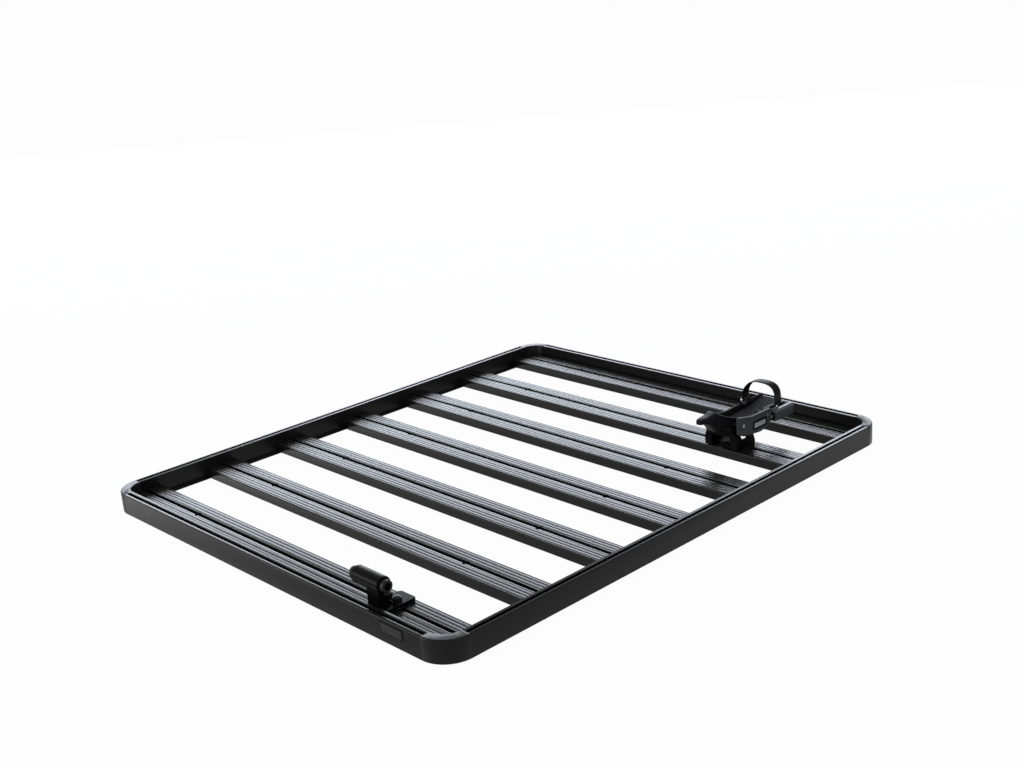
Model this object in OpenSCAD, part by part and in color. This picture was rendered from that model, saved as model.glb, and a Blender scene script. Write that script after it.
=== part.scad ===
// Roof tray with a fork mount and a rear wheel cradle for carrying one bicycle.
// Millimetres. X runs across the tray along its slats, Y runs along its length with the
// fork mount at the -Y end, and Z is up from the underside of the rails.

/* [Tray] */
// Width over the side rails
tray_w = 1165; // [1000:5:1425]
// Length over the end rails
tray_l = 1358; // [1250:2:1560]
// Height of the rails
rail_h = 47; // [44:0.5:56]
// Width of a rail's top
rail_w = 22; // [22:0.5:28]
// Wall of the rails
rail_wall = 2.2; // [1.8:0.1:2.4]
// Rounding of the rail's upper outer edge
rail_edge_r = 3; // [1:0.5:4]
// Outer radius of the corner castings
corner_r = 62; // [50:1:66]
// Depth of the flange that carries the slats, beyond the rail's inner face
flange_w = 11; // [10.5:0.5:14]
// Thickness of that flange
flange_t = 2.5; // [2.3:0.1:3.2]

/* [Slats] */
// Distance from an end rail's outer face to the first slat's centre line
slat_inset = 73; // [72:1:80]
// Width of a slat
slat_w = 81; // [76:1:86]
// Thickness of a slat
slat_t = 22; // [20:0.5:24]
// Wall of a slat
slat_wall = 2.2; // [1.8:0.1:2.8]
// Rounding of a slat's upper edges
slat_edge_r = 2.5; // [0.5:0.5:3]
// Gap between a slat's end and the side rail
slat_end_gap = 0.5; // [0.2:0.1:2]
// Distance from the middle to a slot's keyhole
keyhole_x = 329; // [250:1:400]
// Diameter of a keyhole
keyhole_d = 15; // [14:0.5:16]
// Grooves on each side of the slot
groove_n = 4; // [2:1:4]
// Distance between grooves
groove_pitch = 9; // [7.5:0.5:9]
// Width of a groove
groove_w = 1.2; // [0.8:0.1:3]
// Depth of a groove
groove_d = 0.5; // [0.3:0.1:1.2]

/* [T-slots] */
// Opening of the T-slots in the slats and rails
slot_open = 9; // [8.6:0.1:10]
// Width of the channel under the lips
slot_chan_w = 17; // [15.5:0.5:17]
// Height of the channel
slot_chan_h = 5.5; // [5:0.1:6]
// Thickness of the lips
slot_lip_t = 2.5; // [2:0.1:3]

/* [Mounts on the tray] */
// Distance of the bicycle's plane from the tray's middle
bike_x = 353; // [-300:1:380]
// Slat that carries the wheel cradle, counted from the front
cradle_slat = 6; // [4:1:6]

/* [Fork mount] */
// Height of the axle over the slats
axle_h = 70; // [62:1:90]
// Length of the axle seat between the fork's ends
axle_len = 100; // [96:1:110]
// Diameter of the through axle's bore
axle_bore_d = 15.1; // [12.1:0.1:15.3]
// Outer diameter of the barrel
barrel_d = 33; // [28:0.5:36]
// Length of the end ring at each end of the barrel
ring_len = 10; // [6:0.5:14]
// Diameter of the end rings
ring_d = 24; // [21:0.5:27]
// Width of the pillar under the barrel
pillar_w = 38; // [30:1:46]
// Thickness of the pillar
pillar_t = 16; // [12:0.5:18]
// Width of the foot plate
foot_w = 48; // [46:1:60]
// Thickness of the foot plate
foot_t = 6; // [5:0.5:8]
// Distance from the slot's centre line to the pillar's front face
foot_front = 44; // [42:0.5:46]
// Distance from the slot's centre line to the plate's rear edge
foot_rear = 38; // [30:1:40]
// Distance between the two T-bolts
foot_bolt_pitch = 28; // [26:1:30]

/* [Wheel cradle] */
// Height of the tilt axis over the slats
tilt_h = 31.5; // [30:0.5:38]
// Distance of the tilt axis behind the slot's centre line
tilt_y = 12; // [8:1:14]
// Width of the trough
trough_w = 72; // [68:1:80]
// Length of the trough in front of the slot's centre line
trough_front = 73; // [66:1:80]
// Length of the trough behind the slot's centre line
trough_rear = 156; // [150:1:170]
// Width of the trough's front end
prow_w = 30; // [24:1:40]
// Length of the hooked lip in front of the trough
prow_len = 47; // [40:1:56]
// Width of the lip's rounded tip
prow_tip_w = 16; // [12:1:24]
// Wall of the trough
trough_wall = 3.5; // [2.5:0.1:4.5]
// Floor of the trough
floor_t = 5; // [4:0.5:6]
// Radius of the tyre's tread that the floor follows
tyre_r = 360; // [330:5:375]
// Height of the trough's floor over the slats
floor_h = 47.5; // [46.5:0.5:56]
// Height of the side walls at the lowest point
trough_side_h = 18; // [14:0.5:22]
// Thickness of the rubber liner
liner_t = 2.5; // [1.5:0.1:3.5]
// Diameter of the star knob
knob_d = 36; // [30:0.5:37]
// Height of the star knob
knob_h = 12; // [10:0.5:13]

/* [Strap and ratchet] */
// Width of the strap
strap_w = 24; // [20:0.5:24]
// Thickness of the strap
strap_t = 2.5; // [1.5:0.1:2.8]
// Radius of the strap's loop at mid thickness
strap_r = 43.5; // [43:0.25:45]
// Height of the loop's centre over the slats
strap_h = 81.5; // [80:0.5:90]
// Distance of the strap's middle behind the slot's centre line
strap_y = 102; // [100:0.5:104]
// Length of the release paddle
paddle_len = 71; // [59:1:71]
// Height of the release paddle
paddle_h = 28; // [24:0.5:29]
// Thickness of the release paddle
paddle_t = 12; // [9:0.5:14]
// Length of the side cover
cover_len = 124; // [110:1:126]
// Height of the side cover
cover_h = 38; // [34:0.5:40]
// Thickness of the side cover
cover_t = 6; // [4.5:0.5:8]

/* [Hidden] */
$fn = 48;

// Overrun of cuts past a face
over = 1;
// Gap between a clamped foot and the slat that it slides on
slide_gap = 0.2;
// Radial clearance of a pressed or bolted joint
seat_gap = 0.03;
// Radial clearance of a turning joint
turn_gap = 0.06;
// Side clearance of a turning or sliding piece
side_gap = 0.4;
// Clearance of a bolt in its hole
bolt_gap = 0.3;

// Tray places
slat_n = 7;
half_w = tray_w / 2;
half_l = tray_l / 2;
slat_pitch = (tray_l - 2 * slat_inset) / (slat_n - 1);
slat_len = tray_w - 2 * (rail_w + slat_end_gap);
slat_top = flange_t + slat_t;
flange_reach = rail_w + flange_w;
function slat_y(i) = (i - (slat_n + 1) / 2) * slat_pitch;

// Rail hollow under the T-slot
slot_depth = slot_lip_t + slot_chan_h;
slot_web = 2;
hollow_top = rail_h - slot_depth - slot_web;
hollow_w = rail_w - 2 * rail_wall;
// Corner spigots and the pocket under each corner
spigot_len = 40;
spigot_gap = 0.1;
spigot_screw_first = 12;
spigot_screw_pitch = 16;
corner_wall = 3;
pocket_end_angle = 15;

// Countersunk screws
screw_r = 2.5;
screw_head_r = 4.6;
screw_head_h = 2.1;
screw_tip = 1;
slat_screw_inset = 5.5;
slat_screw_y = 14;
nut_w = 8;
nut_h = 4;

// T-bolts
bolt_r = 4;
head_w = 14;
head_side = 12;
washer_r = 8.5;
washer_t = 1.6;
chan_bottom = slat_top - slot_depth;
head_h = slot_chan_h - 2 * slide_gap;
head_z = slat_top - slot_lip_t - slide_gap - head_h;
pad_t = 1.5;
foot_z = slat_top + slide_gap + pad_t;

// Fork mount places
fork_y = slat_y(1);
axle_z = slat_top + axle_h;
barrel_len = axle_len - 2 * ring_len;
sleeve_wall = 1.45;
sleeve_r = axle_bore_d / 2 + sleeve_wall;
pillar_flare = (foot_w - pillar_w) / 2;
rib_t = 8;
rib_len = 24;
rib_top_share = 0.55;
cap_nut_r = 10;
cap_nut_h = 14;
cap_nut_dome_h = 3;
cap_thread_h = 9;
pad_front_inset = 4.5;
pad_side_inset = 1;

// Cradle places
wheel_y = slat_y(cradle_slat);
tilt_z = slat_top + tilt_h;
rod_r = 4;
base_plate_w = 106;
base_plate_l = 40;
base_plate_t = 5;
cheek_t = 8;
cheek_x = 39;
cheek_front = 38;
cheek_rear = 28;
cheek_low_h = 20;
cheek_nose_h = 8;
cheek_boss_r = 9;
post_rear_h = 10;
leg_x = 27;
leg_len = 18;
leg_top_gap = 7;
leg_taper = 6;
bridge_t = 5;
bridge_h = 11;
lug_x = 15;
lug_t = 8;
lug_boss_r = 8.5;
key_w = 16;
key_x = 44;
key_side = 8;
knob_lobes = 5;
knob_lobe_r = 7;
knob_waist = 4.7;
knob_bore_h = 10;
knob_bolt_gap = 1;
knob_z = foot_z + base_plate_t + washer_t + slide_gap;

// Trough places
plan_mid_y = 70;
side_mid_y = 40;
floor_z = slat_top + floor_h;
prow_top_h = 51.5;
rim_rear_r = 900;
rim_low_z = floor_z + trough_side_h;
rim_top_z = floor_z + prow_top_h;
prow_run = trough_front + side_mid_y;
prow_rise = rim_top_z - rim_low_z;
rim_front_r = (prow_run * prow_run + prow_rise * prow_rise) / (2 * prow_rise);
plan_run = trough_front + plan_mid_y;
plan_sag = (trough_w - prow_w) / 2;
plan_r = (plan_run * plan_run + plan_sag * plan_sag) / (2 * plan_sag);
chin_rise = 3.5;
chin_len = 35;
chin_z = floor_z + chin_rise;
lip_inset = 0.5;
lip_root_x = prow_w / 2 - lip_inset;
lip_low_z = chin_z + lip_inset;
lip_drop = 19;
lip_back = 13;
lip_brow = 9;
lip_t = 23;
lip_mid_share = 0.46;
lip_root_share = 0.24;
lip_root_rise = 15;
keel_front = 30;
keel_front_drop = 14;
keel_drop = 18;
keel_rise = 4;
liner_clearance = 0.1;
liner_front_share = 0.7;
liner_rear_inset = 4;
land_front = 84;
land_h = 24;
land_out = 2;
land_in = 12;
land_drop = 6;
land_len = trough_rear - land_front;
land_low = floor_z - land_drop;
land_x = trough_w / 2 + land_out;
land_mid_z = land_low + land_h / 2;
frame_screw_share = 0.15;

// Strap places
strap_drop = 8;
strap_pin_r = 2.5;
eye_wall = 1.9;
tail_drop = 9;
tail_len = 9;
tail_gap = 0.95;
tooth_h = 0.6;
tooth_w = 1;
tooth_pitch = 2;
loop_x = 9;
loop_z = slat_top + strap_h;
anchor_x = loop_x - strap_r;
anchor_z = loop_z - strap_drop;
eye_r = strap_pin_r + eye_wall;

// Ratchet places
plate_t = 3;
ear_t = 4;
ear_r = 7;
hub_r = 6;
paddle_pin_r = 2.5;
paddle_out = 11;
paddle_low = 16;
paddle_back = 4;
paddle_lap = 10;
paddle_bevel = 4;
nose_gap = 0.85;
nose_h = 6;
nose_t = 4;
nose_drop = 1;
frame_drop = 18;
frame_rise = 6;
spring_len = 7;
spring_wire = 1.4;
anchor_plate_h = 20;
anchor_ear_h = 5;
rivet_pitch = 18;
rivet_r = 2;
rivet_head_r = 3.8;
rivet_head_h = 1.2;
rivet_len = 7;
plate_x = land_x + plate_t;
tail_x = plate_x + tail_gap + strap_t / 2;
tail_top = loop_z - tail_drop;
tail_bottom = tail_top - tail_len;
paddle_x = plate_x + paddle_out;
paddle_rise = 4;
paddle_z = floor_z + paddle_rise;
frame_front = strap_y - strap_w / 2 - side_gap - ear_t;
anchor_rear = strap_y + strap_w / 2 + side_gap + ear_t;
paddle_front = strap_y - paddle_lap;
paddle_rear = paddle_front + paddle_len;
frame_rear = paddle_rear + side_gap + ear_t;
frame_low = paddle_z - frame_drop;
frame_top = tail_bottom + frame_rise;

// Side cover places
cover_gap = 1.5;
cover_x = cheek_x + cheek_t + cover_gap;
cover_front = 42;
cover_drop = 12;
cover_low = floor_z - cover_drop;
cover_belly = 9;
cover_belly_len = 36;
cover_rise = 11;
cover_sweep = 55;
recess_len = 48;
recess_back = 6;
recess_h = 17;
recess_d = 1;
standoff_r = 5;
standoff_front = -22;
standoff_rear = 68;
standoff_h = 60;
small_screw_r = 2;
small_head_r = 3.8;
small_head_h = 2;
small_screw_len = 14;
small_screw_tip_gap = 1;
small_screw_depth = 4;

// Section of a T-slot, cut down from z = 0 and centred on x = 0
module slot_section() {
    translate([-slot_open / 2, -slot_lip_t - over])
        square([slot_open, slot_lip_t + 2 * over]);
    translate([-slot_chan_w / 2, -slot_depth])
        square([slot_chan_w, slot_chan_h]);
}

// What rounding takes off an upper edge at the origin, with the solid towards +x and below
module edge_cut(r) {
    difference() {
        translate([-over, -r])
            square([r + over, r + over]);
        translate([r, -r])
            circle(r);
    }
}

// Outline of a rail's section: outer face at x = 0, flange towards +x
module rail_outline() {
    difference() {
        union() {
            square([rail_w, rail_h]);
            square([flange_reach, flange_t]);
        }
        translate([0, rail_h])
            edge_cut(rail_edge_r);
    }
}

module rail_section() {
    difference() {
        rail_outline();
        translate([rail_wall, flange_t])
            square([hollow_w, hollow_top - flange_t]);
        translate([rail_w / 2, rail_h])
            slot_section();
    }
}

// Screw with its head flush with z = 0 and its shank pointing up
module countersunk(r, head_r, head_h, length, gap = 0) {
    cylinder(h = head_h, r1 = head_r + gap, r2 = r + gap);
    cylinder(h = length, r = r + gap);
}

module flush_screw(length) {
    countersunk(screw_r, screw_head_r, screw_head_h, length);
}

module flush_hole() {
    translate([0, 0, -over])
        cylinder(h = over + seat_gap, r = screw_head_r + seat_gap);
    countersunk(screw_r, screw_head_r, screw_head_h, flange_t + over, seat_gap);
}

// Rail of a given length along +x, outer face towards -y, from x = -length / 2
module rail(length) {
    rotate([90, 0, 90])
        translate([0, 0, -length / 2])
            linear_extrude(length)
                rail_section();
}

// Places of the two screws in each end of a rail
module at_spigot_screws(length) {
    for (side = [-1, 1], n = [0, 1])
        translate([side * (length / 2 - spigot_screw_first - n * spigot_screw_pitch), rail_w / 2, 0])
            children();
}

module drilled_rail(length) {
    difference() {
        rail(length);
        at_spigot_screws(length) flush_hole();
    }
}

end_rail_len = tray_w - 2 * corner_r;
side_rail_len = tray_l - 2 * corner_r;

module at_front() { translate([0, -half_l, 0]) children(); }
module at_rear() { translate([0, half_l, 0]) rotate([0, 0, 180]) children(); }
module at_left() { translate([-half_w, 0, 0]) rotate([0, 0, -90]) children(); }
module at_right() { translate([half_w, 0, 0]) rotate([0, 0, 90]) children(); }

// Places of the slat screws: two at each end of the listed slats
module at_slat_screws(slats = [1 : slat_n]) {
    for (i = slats, side = [-1, 1], row = [-1, 1])
        translate([side * (slat_len / 2 - slat_screw_inset), slat_y(i) + row * slat_screw_y, 0])
            children();
}

module end_rail() {
    color([0.1, 0.1, 0.11]) drilled_rail(end_rail_len);
}

module front_rail() { at_front() end_rail(); }
module rear_rail() { at_rear() end_rail(); }

module side_rail() {
    color([0.1, 0.1, 0.11]) drilled_rail(side_rail_len);
}

module left_rail() {
    difference() {
        at_left() side_rail();
        at_slat_screws() flush_hole();
    }
}

module right_rail() {
    difference() {
        at_right() side_rail();
        at_slat_screws() flush_hole();
    }
}

// Spigot that fills the hollow of the rail next to a corner, along +y from y = 0
module spigot() {
    difference() {
        translate([corner_r - rail_wall - hollow_w + spigot_gap, 0, flange_t + spigot_gap])
            cube([hollow_w - 2 * spigot_gap, spigot_len, hollow_top - flange_t - 2 * spigot_gap]);
        for (n = [0, 1])
            translate([corner_r - rail_w / 2, spigot_screw_first + n * spigot_screw_pitch, 0])
                cylinder(h = hollow_top / 2 + over, r = screw_r + seat_gap);
    }
}

// Corner casting about its arc's centre, for the corner towards +x and -y
module corner() {
    color([0.11, 0.11, 0.12]) {
        difference() {
            rotate([0, 0, -90])
                rotate_extrude(angle = 90, $fn = 96)
                    translate([corner_r, 0])
                        mirror([1, 0])
                            rail_outline();
            rotate([0, 0, pocket_end_angle - 90])
                rotate_extrude(angle = 90 - 2 * pocket_end_angle, $fn = 96)
                    translate([corner_r - rail_w + corner_wall, -over])
                        square([rail_w - 2 * corner_wall, hollow_top + over]);
        }
        spigot();
        rotate([0, 0, -90])
            mirror([0, 1, 0])
                spigot();
    }
}

corner_dx = half_w - corner_r;
corner_dy = half_l - corner_r;

// Corner towards the given sides, drilled for the screws of the slat next to it
module placed_corner(x_side, y_side, turn) {
    difference() {
        translate([x_side * corner_dx, y_side * corner_dy, 0])
            rotate([0, 0, turn])
                corner();
        at_slat_screws(y_side < 0 ? [1] : [slat_n]) flush_hole();
    }
}

module front_right_corner() { placed_corner(1, -1, 0); }
module rear_right_corner() { placed_corner(1, 1, 90); }
module rear_left_corner() { placed_corner(-1, 1, 180); }
module front_left_corner() { placed_corner(-1, -1, -90); }

// What a corner's inner arc takes off the ends of the slat next to it
module corner_trim() {
    for (x_side = [-1, 1], y_side = [-1, 1])
        translate([x_side * corner_dx, y_side * corner_dy, 0])
            linear_extrude(rail_h)
                difference() {
                    translate([(x_side - 1) * corner_r / 2, (y_side - 1) * corner_r / 2])
                        square(corner_r);
                    circle(corner_r - rail_w - slat_end_gap);
                }
}

module slat_section() {
    difference() {
        translate([-slat_w / 2, 0])
            square([slat_w, slat_t]);
        difference() {
            translate([slat_wall - slat_w / 2, slat_wall])
                square([slat_w - 2 * slat_wall, slat_t - slat_wall - slot_lip_t]);
            translate([-slot_chan_w / 2 - slat_wall, slat_t - slot_depth - slat_wall])
                square([slot_chan_w + 2 * slat_wall, slot_depth + slat_wall]);
        }
        translate([0, slat_t])
            slot_section();
        translate([-slat_w / 2, slat_t])
            edge_cut(slat_edge_r);
        translate([slat_w / 2, slat_t])
            mirror([1, 0])
                edge_cut(slat_edge_r);
        for (side = [-1, 1], n = [1 : groove_n])
            translate([side * n * groove_pitch - groove_w / 2, slat_t - groove_d])
                square([groove_w, groove_d + over]);
    }
}

// One slat, counted from the front
module slat(i) {
    color([0.16, 0.16, 0.17])
        difference() {
            translate([0, slat_y(i), flange_t])
                rotate([90, 0, 90])
                    translate([0, 0, -slat_len / 2])
                        linear_extrude(slat_len)
                            slat_section();
            for (side = [-1, 1]) {
                translate([side * keyhole_x, slat_y(i), chan_bottom])
                    cylinder(h = slot_depth + over, d = keyhole_d);
                for (row = [-1, 1])
                    translate([side * (slat_len / 2 - slat_screw_inset), slat_y(i) + row * slat_screw_y, 0])
                        cylinder(h = flange_t + slat_wall + over, r = screw_r + seat_gap);
            }
            if (i == 1 || i == slat_n)
                corner_trim();
        }
}

module slat_screws() {
    color([0.5, 0.5, 0.52])
        at_slat_screws()
            flush_screw(flange_t + slat_wall + nut_h + screw_tip);
}

module slat_nuts() {
    color([0.55, 0.55, 0.57])
        at_slat_screws()
            translate([0, 0, flange_t + slat_wall])
                difference() {
                    translate([-nut_w / 2, -nut_w / 2, 0])
                        cube([nut_w, nut_w, nut_h]);
                    translate([0, 0, -over])
                        cylinder(h = nut_h + 2 * over, r = screw_r + seat_gap);
                }
}

module corner_screws() {
    color([0.5, 0.5, 0.52]) {
        at_front() at_spigot_screws(end_rail_len) flush_screw(hollow_top / 2);
        at_rear() at_spigot_screws(end_rail_len) flush_screw(hollow_top / 2);
        at_left() at_spigot_screws(side_rail_len) flush_screw(hollow_top / 2);
        at_right() at_spigot_screws(side_rail_len) flush_screw(hollow_top / 2);
    }
}

// Cylinder along x, centred on the origin
module x_rod(r, length) {
    rotate([0, 90, 0])
        cylinder(h = length, r = r, center = true);
}

// Cylinder along y from y = 0
module y_rod(r, length) {
    rotate([-90, 0, 0])
        cylinder(h = length, r = r);
}

// Outline in the y, z plane, extruded along x from x = 0
module side_plate(thickness) {
    rotate([90, 0, 90])
        linear_extrude(thickness)
            children();
}

// T-bolt whose shank ends at height top, standing in a slat's slot
module t_bolt(top) {
    translate([-head_side / 2, -head_w / 2, head_z])
        cube([head_side, head_w, head_h]);
    translate([0, 0, head_z])
        cylinder(h = top - head_z, r = bolt_r);
}

module washer() {
    difference() {
        cylinder(h = washer_t, r = washer_r);
        translate([0, 0, -over])
            cylinder(h = washer_t + 2 * over, r = bolt_r + bolt_gap);
    }
}

module at_fork() { translate([bike_x, fork_y, 0]) children(); }
module at_foot_bolts() {
    at_fork()
        for (side = [-1, 1])
            translate([side * foot_bolt_pitch / 2, 0, 0])
                children();
}

// Fork mount casting: foot plate, flared pillar, rib and barrel
module fork_mount_body() {
    color([0.06, 0.06, 0.06])
        at_fork()
            difference() {
                union() {
                    translate([-foot_w / 2, -foot_front, foot_z])
                        cube([foot_w, foot_front + foot_rear, foot_t]);
                    translate([0, pillar_t - foot_front, 0])
                        rotate([90, 0, 0])
                            linear_extrude(pillar_t)
                                polygon([
                                    [-foot_w / 2, foot_z],
                                    [foot_w / 2, foot_z],
                                    [foot_w / 2, foot_z + foot_t],
                                    [pillar_w / 2, foot_z + foot_t + pillar_flare],
                                    [pillar_w / 2, axle_z],
                                    [-pillar_w / 2, axle_z],
                                    [-pillar_w / 2, foot_z + foot_t + pillar_flare],
                                    [-foot_w / 2, foot_z + foot_t]
                                ]);
                    translate([-rib_t / 2, 0, 0])
                        side_plate(rib_t)
                            polygon([
                                [-foot_front, foot_z],
                                [pillar_t + rib_len - foot_front, foot_z],
                                [pillar_t + rib_len - foot_front, foot_z + foot_t],
                                [pillar_t - foot_front, foot_z + axle_h * rib_top_share],
                                [-foot_front, foot_z + axle_h * rib_top_share]
                            ]);
                    translate([0, -foot_front, axle_z])
                        x_rod(barrel_d / 2, barrel_len);
                }
                translate([0, -foot_front, axle_z])
                    x_rod(sleeve_r + seat_gap, barrel_len + 2 * over);
                for (side = [-1, 1])
                    translate([side * foot_bolt_pitch / 2, 0, foot_z - over])
                        cylinder(h = foot_t + 2 * over, r = bolt_r + bolt_gap);
            }
}

// Steel liner of the barrel, in which the through axle sits
module fork_axle_sleeve() {
    color([0.3, 0.3, 0.31])
        at_fork()
            translate([0, -foot_front, axle_z])
                difference() {
                    x_rod(sleeve_r, axle_len);
                    x_rod(axle_bore_d / 2, axle_len + 2 * over);
                }
}

// End ring against which a fork end is clamped
module fork_ring(side) {
    color([0.09, 0.09, 0.09])
        at_fork()
            translate([side * (axle_len - ring_len) / 2, -foot_front, axle_z])
                difference() {
                    x_rod(ring_d / 2, ring_len);
                    x_rod(sleeve_r + seat_gap, ring_len + 2 * over);
                }
}

module fork_ring_left() { fork_ring(-1); }
module fork_ring_right() { fork_ring(1); }

module fork_base_pad() {
    color([0.05, 0.05, 0.05])
        at_fork()
            difference() {
                translate([pad_side_inset - foot_w / 2, pad_front_inset - foot_front, slat_top + slide_gap])
                    cube([foot_w - 2 * pad_side_inset, foot_front + foot_rear - 2 * pad_front_inset, pad_t]);
                for (side = [-1, 1])
                    translate([side * foot_bolt_pitch / 2, 0, slat_top])
                        cylinder(h = slide_gap + pad_t + over, r = bolt_r + bolt_gap);
            }
}

foot_top = foot_z + foot_t;
module fork_t_bolts() {
    color([0.6, 0.6, 0.62])
        at_foot_bolts()
            t_bolt(foot_top + washer_t + cap_thread_h);
}

module fork_washers() {
    color([0.6, 0.6, 0.62])
        at_foot_bolts()
            translate([0, 0, foot_top])
                washer();
}

module fork_cap_nuts() {
    color([0.07, 0.07, 0.07])
        at_foot_bolts()
            translate([0, 0, foot_top + washer_t])
                difference() {
                    union() {
                        cylinder(h = cap_nut_h - cap_nut_dome_h, r = cap_nut_r, $fn = 6);
                        cylinder(h = cap_nut_h, r = cap_nut_r * sqrt(3) / 2);
                    }
                    translate([0, 0, -over])
                        cylinder(h = cap_thread_h + over + seat_gap, r = bolt_r + seat_gap);
                }
}

module at_cradle() { translate([bike_x, wheel_y, 0]) children(); }

// Base bracket: a plate on the slat between two cheeks that carry the tilt rod
module cheek() {
    difference() {
        side_plate(cheek_t)
            union() {
                polygon([
                    [-cheek_front, foot_z],
                    [cheek_rear, foot_z],
                    [cheek_rear, foot_z + post_rear_h],
                    [tilt_y + cheek_boss_r, tilt_z],
                    [tilt_y - cheek_boss_r, tilt_z],
                    [tilt_y - cheek_boss_r, foot_z + cheek_low_h],
                    [-cheek_front + cheek_nose_h, foot_z + cheek_low_h],
                    [-cheek_front, foot_z + cheek_nose_h]
                ]);
                translate([tilt_y, tilt_z])
                    circle(cheek_boss_r);
            }
        translate([cheek_t / 2, tilt_y, tilt_z])
            x_rod(rod_r + seat_gap, cheek_t + 2 * over);
    }
}

// Front of the bracket in the x, z plane: two legs under a bridge, narrower at the top
leg_top = floor_z - leg_top_gap;
leg_out = cheek_x + cheek_t;
module portal() {
    difference() {
        polygon([
            [-leg_out, foot_z],
            [leg_out, foot_z],
            [leg_out, foot_z + cheek_low_h],
            [leg_out - leg_taper, leg_top],
            [leg_taper - leg_out, leg_top],
            [-leg_out, foot_z + cheek_low_h]
        ]);
        children();
    }
}

module portal_legs() {
    y_plate(-cheek_front, -cheek_front + leg_len)
        portal()
            translate([-leg_x, foot_z - over])
                square([2 * leg_x, leg_top + over]);
    y_plate(-cheek_front, -cheek_front + bridge_t)
        portal()
            translate([-leg_x, foot_z - over])
                square([2 * leg_x, leg_top - bridge_h - foot_z + over]);
}

module cradle_base() {
    color([0.05, 0.05, 0.05])
        at_cradle()
            difference() {
                union() {
                    translate([-base_plate_w / 2, -base_plate_l / 2, foot_z])
                        cube([base_plate_w, base_plate_l, base_plate_t]);
                    portal_legs();
                    translate([cheek_x, 0, 0])
                        cheek();
                    translate([-cheek_x - cheek_t, 0, 0])
                        cheek();
                }
                translate([0, 0, foot_z - over])
                    cylinder(h = base_plate_t + 2 * over, r = bolt_r + bolt_gap);
            }
}

module cradle_base_pad() {
    color([0.04, 0.04, 0.04])
        at_cradle()
            translate([0, 0, slat_top + slide_gap])
                difference() {
                    translate([-base_plate_w / 2, -base_plate_l / 2, 0])
                        cube([base_plate_w, base_plate_l, pad_t]);
                    translate([0, 0, -over])
                        cylinder(h = pad_t + 2 * over, r = bolt_r + bolt_gap);
                    for (side = [-1, 1])
                        translate([side * key_x - key_w / 2 - seat_gap, -key_side / 2 - seat_gap, -over])
                            cube([key_w + 2 * seat_gap, key_side + 2 * seat_gap, pad_t + 2 * over]);
                }
}

// Two plastic keys that keep the base in line with the slot
module cradle_slot_keys() {
    color([0.08, 0.08, 0.08])
        at_cradle()
            for (side = [-1, 1])
                translate([side * key_x - key_w / 2, -key_side / 2, slat_top - slot_lip_t])
                    cube([key_w, key_side, slot_lip_t + slide_gap + pad_t]);
}

plate_top = foot_z + base_plate_t;
module cradle_t_bolt() {
    color([0.6, 0.6, 0.62])
        at_cradle()
            t_bolt(knob_z + knob_bore_h - knob_bolt_gap);
}

module cradle_washer() {
    color([0.6, 0.6, 0.62])
        at_cradle()
            translate([0, 0, plate_top])
                washer();
}

// Star knob that clamps the base
module cradle_knob() {
    color([0.13, 0.13, 0.14])
        at_cradle()
            translate([0, 0, knob_z])
                difference() {
                    union() {
                        cylinder(h = knob_h, r = knob_d / 2 - knob_waist);
                        for (n = [0 : knob_lobes - 1])
                            rotate([0, 0, n * 360 / knob_lobes])
                                translate([knob_d / 2 - knob_lobe_r, 0, 0])
                                    cylinder(h = knob_h, r = knob_lobe_r);
                    }
                    translate([0, 0, -over])
                        cylinder(h = knob_bore_h + over, r = bolt_r + turn_gap);
                }
}

module tilt_rod() {
    color([0.55, 0.55, 0.57])
        at_cradle()
            translate([0, tilt_y, tilt_z])
                x_rod(rod_r, 2 * (cheek_x + cheek_t));
}

// Plan of the trough: two arcs that narrow to the front, inset all round
module trough_plan(inset, rear) {
    front = trough_front - inset;
    intersection() {
        translate([trough_w / 2 - plan_r, plan_mid_y])
            circle(plan_r - inset, $fn = 180);
        translate([plan_r - trough_w / 2, plan_mid_y])
            circle(plan_r - inset, $fn = 180);
        translate([-trough_w, -front])
            square([2 * trough_w, front + rear]);
    }
}

// Side of the trough in the y, z plane: floor arc and straight chin below, rim arcs above
module trough_side() {
    difference() {
        union() {
            intersection() {
                translate([side_mid_y, floor_z + tyre_r])
                    circle(tyre_r + floor_t, $fn = 180);
                translate([-trough_front, 0])
                    square([trough_front + trough_rear, rim_top_z]);
            }
            translate([-trough_front, chin_z])
                square([chin_len, rim_top_z - chin_z]);
        }
        translate([side_mid_y, rim_low_z + rim_front_r])
            circle(rim_front_r, $fn = 180);
        intersection() {
            translate([side_mid_y, rim_low_z + rim_rear_r])
                circle(rim_rear_r, $fn = 180);
            translate([side_mid_y, 0])
                square([trough_rear, rim_top_z + over]);
        }
    }
}

// Region over the floor arc, lifted by a height
module over_floor(lift) {
    intersection() {
        translate([side_mid_y, floor_z + tyre_r])
            circle(tyre_r - lift, $fn = 180);
        translate([-trough_front, 0])
            square([trough_front + trough_rear + over, rim_top_z + over]);
    }
}

// Plan of the lip: it narrows from the trough's front end to a rounded tip
prow_tip_y = -trough_front - prow_len;
module prow_plan() {
    polygon([
        [-lip_root_x, -trough_front],
        [-lip_root_x, -trough_front + trough_wall],
        [lip_root_x, -trough_front + trough_wall],
        [lip_root_x, -trough_front],
        [prow_tip_w / 2, prow_tip_y + prow_tip_w / 2],
        [-prow_tip_w / 2, prow_tip_y + prow_tip_w / 2]
    ]);
    translate([0, prow_tip_y + prow_tip_w / 2])
        circle(prow_tip_w / 2);
}

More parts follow.
